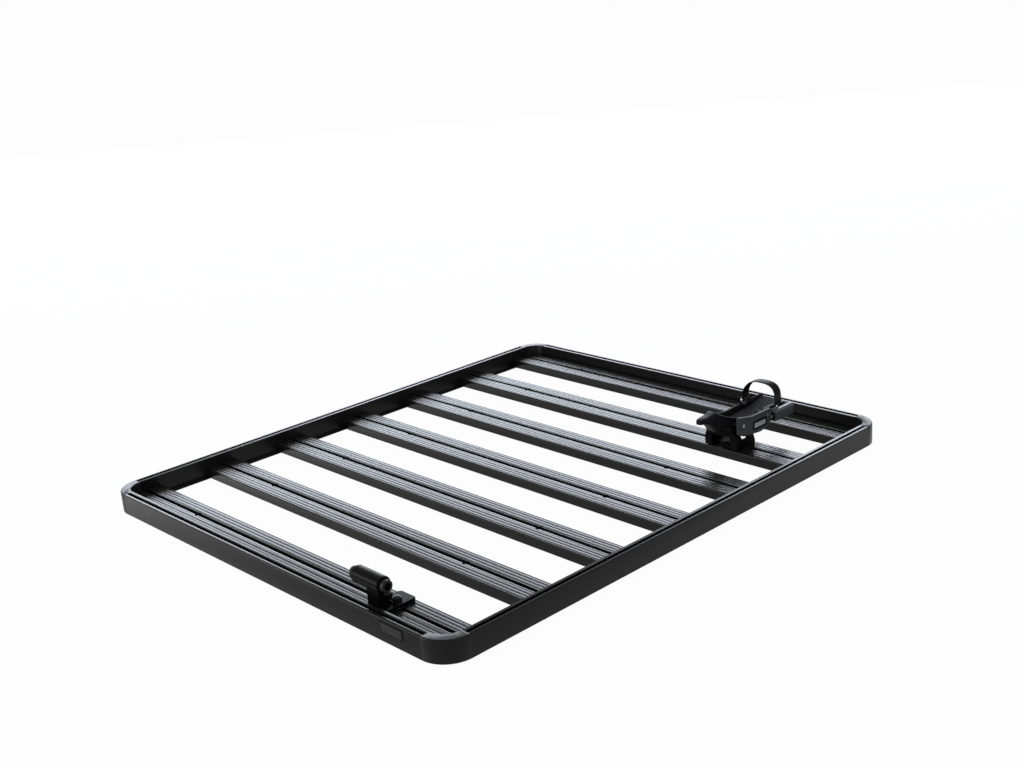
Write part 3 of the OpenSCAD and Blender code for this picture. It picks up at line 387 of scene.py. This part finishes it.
def softened(node, body, finish, edge, voxel=0.0, settle=0):
    """Copy of a CAD node with rounded edges: the copy's loose triangles are merged and its flat
    ones dissolved into whole faces, so that only the real edges are rounded."""
    mesh = bpy.data.meshes.new(node + "_finished")
    copy = bmesh.new()
    copy.from_mesh(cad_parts[node].data)
    bmesh.ops.remove_doubles(copy, verts=copy.verts, dist=0.002 * MM)
    bmesh.ops.dissolve_limit(copy, angle_limit=math.radians(0.5), verts=copy.verts, edges=copy.edges)
    copy.to_mesh(mesh)
    copy.free()
    finished(node + "_finished", mesh, body, finish, (node,), edge, voxel, settle)


add_camera()
add_stage()
# The large softbox behind the left side lies as a cool sheen on the slats' tops; the low one in
# front lights the faces towards the fork mount's end, misses those towards +X, and falls off along
# the tray.
add_softbox("cool softbox behind left", (-4.3, 3.9, 1.75), (0.0, 0.0, 0.0), 8.0, 2.1, 310, "E9F2FF")
add_softbox("low front fill", (-1.3, -2.8, 0.55), (-0.1, -0.65, 0.0), 2.2, 0.8, 42, "FFFFFF")

# Powder coat on the extrusions and castings: one bath of black, a little duller on the castings.
RAIL_COAT = coated_metal("black powder coated extruded aluminium rail", "1A1818", 0.28, 0.2)
SLAT_COAT = coated_metal("black powder coated extruded aluminium slat", "151516", 0.26, 0.26)
CORNER_COAT = coated_metal("black powder coated die-cast corner", "111112", 0.33, 0.22, 0.7, 0.10)
MOUNT_COAT = coated_metal("black powder coated die-cast fork mount", "070707", 0.30, 0.06, 0.6, 0.10)
# Fine turned steel, blackened on the sleeve and bright zinc on the fasteners.
ZINC = plated_steel("bright zinc plated steel fastener", "B6B8BC", 0.30)
DARK_STEEL = plated_steel("blackened turned steel sleeve", "55565A", 0.34)
# Moulded parts: the cradle's black nylon and its dark grey cover have one roughness, and the knob,
# the paddle, the end rings and the strap are smoother. The bracket's nylon is made near-black,
# darker than the trough's, as painted shade under the trough. The cover's dark grey is partly its
# own colour and partly painted light, lightened to how its +X side is lit.
CRADLE_NYLON = moulded_plastic("black moulded nylon trough", "131315", "1B1B1E", 0.46, 0.10)
NYLON_DARKENED_AS_SHADE = moulded_plastic("black moulded nylon darkened as painted shade", "030303", "070707", 0.46, 0.04)
COVER_NYLON_WITH_PAINTED_LIGHT = moulded_plastic("dark grey moulded nylon cover with painted light", "35393C", "3D4145", 0.46, 0.2)
KNOB_NYLON = moulded_plastic("black moulded nylon knob", "2E3033", "37393D", 0.38, 0.35)
PADDLE_NYLON = moulded_plastic("black moulded nylon release paddle", "3E4144", "474A4E", 0.34, 0.45)
RING_NYLON = moulded_plastic("black moulded nylon end ring", "131416", "18191C", 0.40, 0.2)
STRAP_PLASTIC = moulded_plastic("black moulded polyurethane strap", "070707", "151616", 0.34, 0.12, 1.2)
PAD_RUBBER = rubber("black pressed rubber pad", "0C0C0C")
LINER_RUBBER = rubber("black pressed rubber tyre liner", "2E2E31")
PLATE_METAL = plated_steel("bare satin aluminium label plate", "A8AAAE", 0.42, 0.4)

# The tray: its extrusions and castings keep their CAD form, with their edges rounded.
for node in ("front_rail", "rear_rail", "left_rail", "right_rail"):
    softened(node, "tray", RAIL_COAT, 0.45)
for node in ("front_left_corner", "front_right_corner", "rear_left_corner", "rear_right_corner"):
    softened(node, "tray", CORNER_COAT, 0.45)
for number in range(1, 8):
    softened("slat_%d" % number, "tray", SLAT_COAT, 0.45)

# Places of the fork mount and the wheel cradle, in the frame of the CAD model.
BIKE_X = 353.0
FORK_Y = -606.0
WHEEL_Y = 404.0
FOOT_Z = 26.2
AXLE = (-44.0, 94.5)


def fork_pillar():
    """Pillar whose half width falls from the foot's to its own as a quarter ellipse, and whose top
    row lies inside the barrel's wall: z = axle height minus the root of (radius squared minus the
    square of the distance behind the axle)."""
    flare_top, pillar_top, crown_r = 24, 58, 15.0
    height = np.concatenate([np.linspace(0, 1, 14)[:-1] ** 1.3 * flare_top,
                             np.linspace(flare_top, pillar_top, 8)])
    near = np.clip(1 - height / flare_top, 0, 1)
    flare = 1 - np.sqrt(1 - near ** 2)
    rows = superellipse(19 + 5 * flare, 8 + 3.5 * flare, 7, 56)
    y = -36 + rows[..., 1] + (3.5 * flare)[:, None]
    z = FOOT_Z + 0.3 + np.broadcast_to(height[:, None], y.shape)
    crown = AXLE[1] - np.sqrt(np.clip(crown_r ** 2 - (y[-1] - AXLE[0]) ** 2, 4, None))
    top = np.stack([rows[-1, :, 0], y[-1], crown], -1)
    return skin(np.concatenate([np.stack([rows[..., 0], y, z], -1), top[None]]))


def fork_mount():
    """Foot plate, flared pillar, rib and hollow barrel, melted into one casting."""
    foot = prism("z", rounded([(-24, -44), (24, -44), (24, 38), (-24, 38)], [4, 4, 7, 7]),
                 FOOT_Z, FOOT_Z + 6)
    rib = prism("x", [(-30, FOOT_Z + 1), (-6, FOOT_Z + 1), (-4, FOOT_Z + 7), (-14, FOOT_Z + 17),
                      (-24, FOOT_Z + 36), (-30, FOOT_Z + 44)], -4, 4)
    barrel = lathe("x", AXLE, [(-40, 9), (-40, 14.6), (-38.2, 16.5), (38.2, 16.5), (40, 14.6), (40, 9)],
                   96, True)
    place = (BIKE_X, FORK_Y, 0)
    piece("fork_mount_casting", moved([foot, fork_pillar(), rib, barrel], place), "fork_mount",
          MOUNT_COAT, ["fork_mount_body"], voxel=0.75, settle=5)
    for side, node in ((-1, "fork_ring_left"), (1, "fork_ring_right")):
        near, far = side * 40.0, side * 50.0
        ring = lathe("x", AXLE, [(near, 9.05), (near, 11.2), (near + 0.8 * side, 12),
                                 (near + 3 * side, 12), (near + 3.6 * side, 11.4),
                                 (near + 4.4 * side, 11.4), (near + 5 * side, 12),
                                 (far - 0.9 * side, 12), (far, 11.1), (far, 9.05)], 72, True)
        piece(node + "_turned", moved([ring], place), "fork_mount", RING_NYLON, [node])


def cap_nut(x, y, low):
    """Hexagon nut with a dome: the radius is the smaller of a hexagon's, the flats' distance / cos
    of the angle from the nearest flat, and a cone's that chamfers its corners at both ends. The
    dome's rows follow a quarter ellipse."""
    flat_r, dome_low, dome_h, dome_r = 8.66, 10.9, 3.1, 7.6
    angle = np.linspace(0, 2 * np.pi, 96, endpoint=False)
    from_flat = (angle + np.pi / 6) % (np.pi / 3) - np.pi / 6
    hexagon = flat_r / np.cos(from_flat)
    height = np.array([0, 0.3, 0.8, 1.4, 9.2, 9.8, 10.3, 10.6, dome_low])
    cone = np.array([8.9, 9.3, 9.8, 11, 11, 9.9, 9.3, 8.9, 8.3])
    rows = [np.minimum(hexagon, limit) for limit in cone]
    swell = np.linspace(0, 0.49 * np.pi, 10)
    height = np.concatenate([height, dome_low + dome_h * np.sin(swell)])
    rows += [np.full(len(angle), dome_r * np.cos(s) + 0.15) for s in swell]
    radius = np.array(rows)
    across = np.stack([x + radius * np.cos(angle), y + radius * np.sin(angle)], axis=-1)
    return skin(on_axes("z", (low + height)[:, None], across))


fork_mount()
piece("fork_dome_nuts", [cap_nut(BIKE_X + side * 14, FORK_Y, 33.8) for side in (-1, 1)], "fork_mount",
      RING_NYLON, ["fork_cap_nuts"])

CRADLE = (BIKE_X, WHEEL_Y, 0)
# In the cradle's own frame, from the middle of its slat: the wheel's axle with the radii of the
# trough's floor and underside about it, the arc and thickness of the side walls, the level of the
# chin, the axes of the tilt rod and of the paddle's and the strap's pins, and where along y the
# ears that hold the pins stand.
WHEEL_AXLE_Y, WHEEL_AXLE_Z = 40, 432
FLOOR_R, UNDERSIDE_R = 360, 365
TROUGH_HALF_W, SIDE_ARC_R, WIDEST_Y, WALL = 36, 497.4, 70, 3.5
CHIN_Z = 75.5
TILT_ROD = (12, 56)
PADDLE_PIN = (52, 76)
STRAP_PIN = (-34.5, 98)
FRAME_EARS = ((85.6, 89.6), (163.4, 167.4))
ANCHOR_EARS = ((85.6, 89.6), (114.4, 118.4))


def half_width(y):
    """Half width of the trough: an arc that is widest some way behind the slat's middle."""
    return TROUGH_HALF_W - SIDE_ARC_R + np.sqrt(SIDE_ARC_R ** 2 - (y - WIDEST_Y) ** 2)


def floor_arc(y, radius):
    """Height of an arc about the wheel's axle, over the floor's or the underside's radius."""
    return WHEEL_AXLE_Z - np.sqrt(radius ** 2 - (y - WHEEL_AXLE_Y) ** 2)


def rim_height(y):
    """Height of the trough's rim: one arc that rises to the front and a flatter one behind, which
    meet below the wheel's axle."""
    behind = y - WHEEL_AXLE_Y
    front = 297.33 - np.sqrt(207.33 ** 2 - np.clip(behind, -113, 0) ** 2)
    rear = 990 - np.sqrt(900.0 ** 2 - np.clip(behind, 0, None) ** 2)
    return np.where(y < WHEEL_AXLE_Y, front, rear)


def quarter(x, z, r, start, steps=7):
    """Arc of a quarter turn about (x, z) in each section, from a start angle in degrees."""
    t = np.radians(np.linspace(start, start + 90, steps))
    return np.stack([x[:, None] + r[:, None] * np.cos(t), z[:, None] + r[:, None] * np.sin(t)], axis=-1)


def trough_shell():
    """Channel whose section runs under the floor, up the outside, over a rounded bead at the rim
    and down the inside; its widths and heights are arcs of the distance along the trough, apart
    from the level chin in front."""
    y = np.linspace(-73, 156, 116)
    w, floor, rim = half_width(y), floor_arc(y, FLOOR_R), rim_height(y)
    low = np.where(y < -38, CHIN_Z, floor_arc(y, UNDERSIDE_R))
    outer_r = np.minimum(7.0, 0.6 * (rim - low))
    inner_r = np.minimum(2.2, 0.3 * (rim - floor))
    outside = quarter(w - outer_r, low + outer_r, outer_r, -90)
    t = np.radians(np.linspace(0, 180, 11))
    bead = np.stack([(w - 1.25)[:, None] + 2.25 * np.cos(t),
                     (rim - 2.2)[:, None] + 2.2 * np.sin(t)], axis=-1)
    under_bead = np.stack([w, np.maximum(rim - 4.6, low + outer_r)], axis=-1)[:, None]
    inside = quarter(w - WALL - inner_r, floor + inner_r, inner_r, -90)[:, ::-1]
    right = np.concatenate([outside, under_bead, bead, inside], axis=1)
    ring = np.concatenate([right, right[:, ::-1] * (-1, 1)], axis=1)
    return skin(on_axes("y", y[:, None], ring))


def lip():
    """Hooked lip: soft-cornered sections whose top and underside follow the hook's profile and
    whose width narrows to the tip. Over its last 9 mm the width is multiplied by a quarter circle,
    the root of (1 minus the square of the share of the way), and the height by 0.35 + 0.65 of it."""
    tip = 111
    y = np.concatenate([np.linspace(-66, -tip, 30),
                        -tip - 9 * np.sin(np.linspace(0, np.pi / 2, 18))[1:]])
    ahead = -y
    top = np.interp(ahead, [66, 73, 80, 90, 104, 112, 117, 120],
                    [121.5, 120.6, 119.2, 118.0, 117.6, 116.4, 113.8, 110.5])
    low = np.interp(ahead, [66, 72, 75, 80, 85, 90, 96, 104, 112, 120],
                    [CHIN_Z, CHIN_Z, 78.6, 85.2, 91.4, 96.4, 100.4, 102.6, 103.6, 104.4])
    half = np.interp(ahead, [66, 73, 111, 120], [14.6, 14.4, 8.6, 8.2])
    close = np.sqrt(np.clip(1 - (np.clip(ahead - tip, 0, None) / 9.02) ** 2, 0.0004, 1))
    middle = (top + low) / 2
    tall = (top - low) / 2 * np.where(ahead > tip, 0.35 + 0.65 * close, 1)
    ring = superellipse(half * close, tall, 4.5, 56)
    ring[..., 1] += middle[:, None]
    return skin(on_axes("y", y[:, None], ring))


def lug_plate(side):
    """Lug about the tilt rod that rises into the trough's underside."""
    t = np.radians(np.linspace(180, 360, 25))
    arc = np.stack([TILT_ROD[0] + 8.5 * np.cos(t), TILT_ROD[1] + 8.5 * np.sin(t)], axis=1)
    outline = np.concatenate([arc, [(24, 69), (28, 71), (-4, 71), (0, 69)]])
    return prism("x", outline, side * 15, side * 23)


def trough():
    """Trough, hooked lip, lands for the strap's fittings, lugs, the rib in front of them and the
    cover's standoffs. The lands and standoffs go through the side walls, so that their inner ends
    stand in the channel, which they should not."""
    lands = [prism("x", rounded([(84, 66), (156, 66), (156, 90), (84, 90)], 2.5), side * 26, side * 38)
             for side in (-1, 1)]
    lugs = [lug_plate(side) for side in (-1, 1)]
    keel = prism("x", rounded([(-30, 58), (4.5, 54), (4.5, 70.75), (-30, 76)], [3, 1, 1, 1]), -23, 23)
    standoffs = [lathe("x", (y, 84.5), [(20, 5), (48.5, 5)], 40) for y in (-22, 68)]
    shells = moved([trough_shell(), lip(), keel] + lands + lugs + standoffs, CRADLE)
    piece("trough_moulding", shells, "trough", CRADLE_NYLON, ["cradle_trough"])


def liner():
    """Rubber strip on the floor: its top is the floor's arc plus cross ribs, a raised cosine of the
    distance along it to the fourth power, every 6 mm."""
    y = np.linspace(-51, 151.5, 406)
    rib = 0.7 * (0.5 + 0.5 * np.cos(2 * np.pi * y / 6)) ** 4
    base, w = floor_arc(y, 359.9), half_width(y) - 5.4
    top = base + 1.8 + rib
    across = np.linspace(-1, 1, 9)
    upper = np.stack([w[:, None] * across, np.broadcast_to(top[:, None], (len(y), 9))], axis=-1)
    under = np.stack([w[:, None] * across[::-1], np.broadcast_to(base[:, None], (len(y), 9))], axis=-1)
    return skin(on_axes("y", y[:, None], np.concatenate([upper, under], axis=1)))


def cover():
    """Side cover: a plate with a belly below between two cut corners, and its top swept up to the
    front."""
    outline = [(-42, 68), (-20, 57.7), (46, 51), (73, 60), (82, 69), (82, 98), (13, 98), (-42, 109)]
    return prism("x", rounded(outline, [5, 16, 60, 14, 8, 4, 60, 6], 10), 48.5, 54.4)


def strap():
    """Strap along its path in the x, z plane, from the eye up a leg, over the loop and down to the
    tail: a soft-cornered section carried along the path, with ladder teeth outside on the middle
    half of its run. The loop is x = middle + half width * |cos t| ^ (2 / p), with the cosine's
    sign, and z = base + half height * |sin t| ^ (2 / p): a plain ellipse on the anchor's side, and
    a fuller shoulder of power 3.4 on the ratchet's."""
    middle_x, base_z, half_w, half_h = 12, 108, 46.5, 42.2
    half_thick, half_band, band_y = 1.25, 12.0, 102
    first_tooth, last_tooth = 40, 127
    turn = np.radians(np.linspace(180, 0, 161))
    power = np.where(np.cos(turn) < 0, 2.0, 3.4)
    x = middle_x + np.sign(np.cos(turn)) * half_w * np.abs(np.cos(turn)) ** (2 / power)
    z = base_z + half_h * np.abs(np.sin(turn)) ** (2 / power)
    leg = np.stack([np.full(9, STRAP_PIN[0]), np.linspace(STRAP_PIN[1], 107, 9)], axis=1)
    neck = np.array([(58.2, 105.8), (57.0, 103.8), (55.0, 102.2), (52.2, 100.7), (49.2, 99.3),
                     (46.4, 97.9), (44.4, 96.2), (43.4, 94.2), (43.2, 92.0), (43.2, 90.0),
                     (43.2, 88.0)])
    rough = np.concatenate([leg, np.stack([x, z], axis=1), neck])
    gone = np.concatenate([[0], np.cumsum(np.linalg.norm(np.diff(rough, axis=0), axis=1))])
    run = np.linspace(0, gone[-1], 170)
    path = np.stack([np.interp(run, gone, rough[:, 0]), np.interp(run, gone, rough[:, 1])], axis=1)
    along = np.gradient(path, axis=0)
    along /= np.linalg.norm(along, axis=1, keepdims=True)
    out = np.stack([-along[:, 1], along[:, 0]], axis=1)
    ring = superellipse(np.full(len(path), half_thick), np.full(len(path), half_band), 6, 40)
    points = path[:, None, :] + out[:, None, :] * ring[..., :1]
    band = skin(np.stack([points[..., 0], band_y + ring[..., 1], points[..., 1]], axis=-1))
    eye = lathe("y", STRAP_PIN,
                [(90, 2.56), (90, 3.9), (90.5, 4.4), (113.5, 4.4), (114, 3.9), (114, 2.56)], 48, True)
    tooth = prism("y", [(-0.55, 0), (0.55, 0), (0.3, 0.6), (-0.3, 0.6)], 93.5, 110.5)
    teeth = []
    for n in range(first_tooth, last_tooth + 1):
        across, up = tooth[0][:, 0], tooth[0][:, 2] + 1.2
        place = path[n] + across[:, None] * along[n] + up[:, None] * out[n]
        teeth.append(shell(np.stack([place[:, 0], tooth[0][:, 1], place[:, 1]], axis=1), tooth[1]))
    return [band, eye] + teeth


def ratchet():
    """Plate on the near land, lower behind the strap, with an ear at each end for the paddle's pin."""
    outline = [(85.6, 58), (167.4, 58), (167.4, 86), (126, 86), (117, 94), (85.6, 94)]
    plate = prism("x", rounded(outline, [3, 3, 3, 5, 4, 3]), 38, 41)
    t = np.radians(np.linspace(-90, 90, 21))
    round_end = np.stack([PADDLE_PIN[0] + 7 * np.cos(t), PADDLE_PIN[1] + 7 * np.sin(t)], axis=1)
    ear = np.concatenate([[(39.5, 69)], round_end, [(39.5, 83)]])
    return [plate] + [prism("y", ear, low, high) for low, high in FRAME_EARS]


def paddle():
    """Release paddle: soft-cornered sections along y, with a hub round its pin and a nose for the
    strap's teeth. For the thumb the outer face sinks by 0.8 * cosine of the distance from its
    middle, and bears ribs, the cube of a raised cosine every 5 mm, that fade out 22 mm away."""
    y = np.concatenate([[92, 92.3, 93, 94.2], np.linspace(95.5, 159.5, 65), [160.8, 162, 162.7, 163]])
    end = np.interp(y, [92, 92.3, 93, 94.2, 160.8, 162, 162.7, 163],
                    [2.2, 1.2, 0.5, 0, 0, 0.5, 1.2, 2.2])
    section = rounded([(48, 60), (56, 60), (60, 64), (60, 84), (56, 88), (48, 88)],
                      [1.2, 3, 3, 3, 3, 1.2], 5)
    centre = np.array([54.0, 74.0])
    arm = section - centre
    shrink = 1 - end[:, None, None] / np.array([6.0, 14.0])
    away = y - 127.5
    fade = np.clip(1 - np.abs(away) / 22, 0, 1) ** 0.3
    grip = 0.45 * (0.5 + 0.5 * np.cos(2 * np.pi * away / 5)) ** 3 * fade
    rows = centre + arm * shrink
    outer = np.clip((rows[..., 0] - 58.5) / 1.5, 0, 1)
    rows[..., 0] -= outer * (0.8 * np.cos(np.pi * away / 71) - grip)[:, None]
    body = skin(on_axes("y", y[:, None], rows))
    hub = lathe("y", PADDLE_PIN, [(90.0, 5.4), (90.6, 6), (94.5, 6)], 48)
    nose = prism("y", [(46.4, 77), (57, 77), (49.9, 93), (45.9, 93), (45.9, 87)], 90, 114)
    return [body, hub, nose]


def anchor():
    """Plate on the far land with two ears for the strap's pin."""
    plate = prism("x", rounded([(85.6, 68), (118.4, 68), (118.4, 88), (85.6, 88)], 2.5), -41, -38)
    ear = rounded([(-41, 78), (-38, 78), (-38, 93.6), (-30.1, 93.6), (-30.1, 103), (-41, 103)],
                  [0.3, 0.3, 1.0, 2.5, 4, 2.5], 6)
    return [plate] + [prism("y", ear, low, high) for low, high in ANCHOR_EARS]


def knob():
    """Star knob: a turned profile whose radius swells and shrinks five times round the turn, with
    a low boss on top."""
    profile = [(33, 12.6), (33.2, 13.4), (34, 14.6), (35, 15.3), (42.6, 15.3), (43.8, 14.9),
               (44.6, 13.9), (45, 12.6)]
    return [lathe("z", (0, 0), profile, 160, lobes=0.155, lobe_count=5),
            lathe("z", (0, 0), [(44.5, 8.4), (45.8, 8.4), (46.4, 7.6), (46.5, 6.0), (46.2, 4.5)], 64)]


def pin(axis, centre, low, high, radius, head):
    """Pin with a domed head at each end."""
    profile = [(low - 1.0, radius * 0.55), (low - 0.8, head * 0.8), (low - 0.35, head), (low, head),
               (low, radius), (high, radius), (high, head), (high + 0.35, head),
               (high + 0.8, head * 0.8), (high + 1.0, radius * 0.55)]
    return lathe(axis, centre, profile, 40)


def bare_plate(axis, low, high, radius, near, far):
    """Flat plate whose outline is a rectangle between two corners, with its corners rounded."""
    outline = [low, (high[0], low[1]), high, (low[0], high[1])]
    return prism(axis, rounded(outline, radius), near, far)


trough()
piece("tyre_liner_ribbed", moved([liner()], CRADLE), "trough", LINER_RUBBER, ["tyre_liner"])
# The cover's grey is partly its own colour and partly painted light on its +X side.
piece("side_cover_moulding", moved([cover()], CRADLE), "trough", COVER_NYLON_WITH_PAINTED_LIGHT,
      ["side_cover"], edge=1.6)
piece("wheel_strap_band", moved(strap(), CRADLE), "strap", STRAP_PLASTIC, ["wheel_strap"])
piece("ratchet_frame_pressing", moved(ratchet(), CRADLE), "trough", MOUNT_COAT,
      ["ratchet_frame"], edge=0.6)
piece("release_paddle_moulding", moved(paddle(), CRADLE), "paddle", PADDLE_NYLON,
      ["release_paddle"])
piece("strap_anchor_pressing", moved(anchor(), CRADLE), "trough", MOUNT_COAT,
      ["strap_anchor"], edge=0.5)
piece("star_knob", moved(knob(), CRADLE), "clamp_knob", KNOB_NYLON, ["cradle_knob"])
paddle_pin = pin("y", PADDLE_PIN, FRAME_EARS[0][0], FRAME_EARS[1][1], 2.5, 3.6)
piece("paddle_pin_headed", moved([paddle_pin], CRADLE), "trough", ZINC, ["paddle_pin"])
anchor_pin = pin("y", STRAP_PIN, ANCHOR_EARS[0][0], ANCHOR_EARS[1][1], 2.5, 3.4)
piece("anchor_pin_headed", moved([anchor_pin], CRADLE), "trough", ZINC, ["strap_anchor_pin"])
# The bracket's near-black nylon is painted shade under the trough.
softened("cradle_base", "cradle_bracket", NYLON_DARKENED_AS_SHADE, 0.0, voxel=0.8, settle=5)

# Bare plates where the real product has its badge and its label, each on a darker field. The
# badge's darker field is painted shade: the shadow in the recess that the badge sits in.
badge_painted_recess_shade = bare_plate("y", (406, 18.5), (473, 41.5), 3.5, -679.5, -678.9)
piece("badge_painted_recess_shade", [badge_painted_recess_shade], "tray", MOUNT_COAT, edge=0.2)
badge = bare_plate("y", (409, 21.5), (468, 38.5), 2.5, -680.2, -678.9)
piece("bare_badge_plate", [badge], "tray", RAIL_COAT, edge=0.3)
label_field = bare_plate("x", (12, 62), (64, 84), 2.5, 54.3, 54.7)
piece("label_field", moved([label_field], CRADLE), "trough", NYLON_DARKENED_AS_SHADE, edge=0.15)
label = bare_plate("x", (17.5, 67.5), (58.5, 78.5), 1.5, 54.4, 55.1)
piece("bare_label_plate", moved([label], CRADLE), "trough", PLATE_METAL, edge=0.15)

# Finishes of the CAD nodes that stay as they are.
NODE_FINISH = {
    "slat_screws": ZINC, "slat_nuts": ZINC, "corner_screws": ZINC, "fork_axle_sleeve": DARK_STEEL,
    "fork_base_pad": PAD_RUBBER, "fork_t_bolts": ZINC, "fork_washers": ZINC, "cradle_base_pad": PAD_RUBBER,
    "cradle_slot_keys": KNOB_NYLON, "cradle_t_bolt": ZINC, "cradle_washer": ZINC, "tilt_rod": ZINC,
    "cover_screws": ZINC, "frame_screws": ZINC, "paddle_spring": ZINC, "anchor_rivets": ZINC,
}
for node, finish in NODE_FINISH.items():
    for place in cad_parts[node].material_slots:
        place.material = finish

bpy.context.scene.view_settings.view_transform = "Standard"
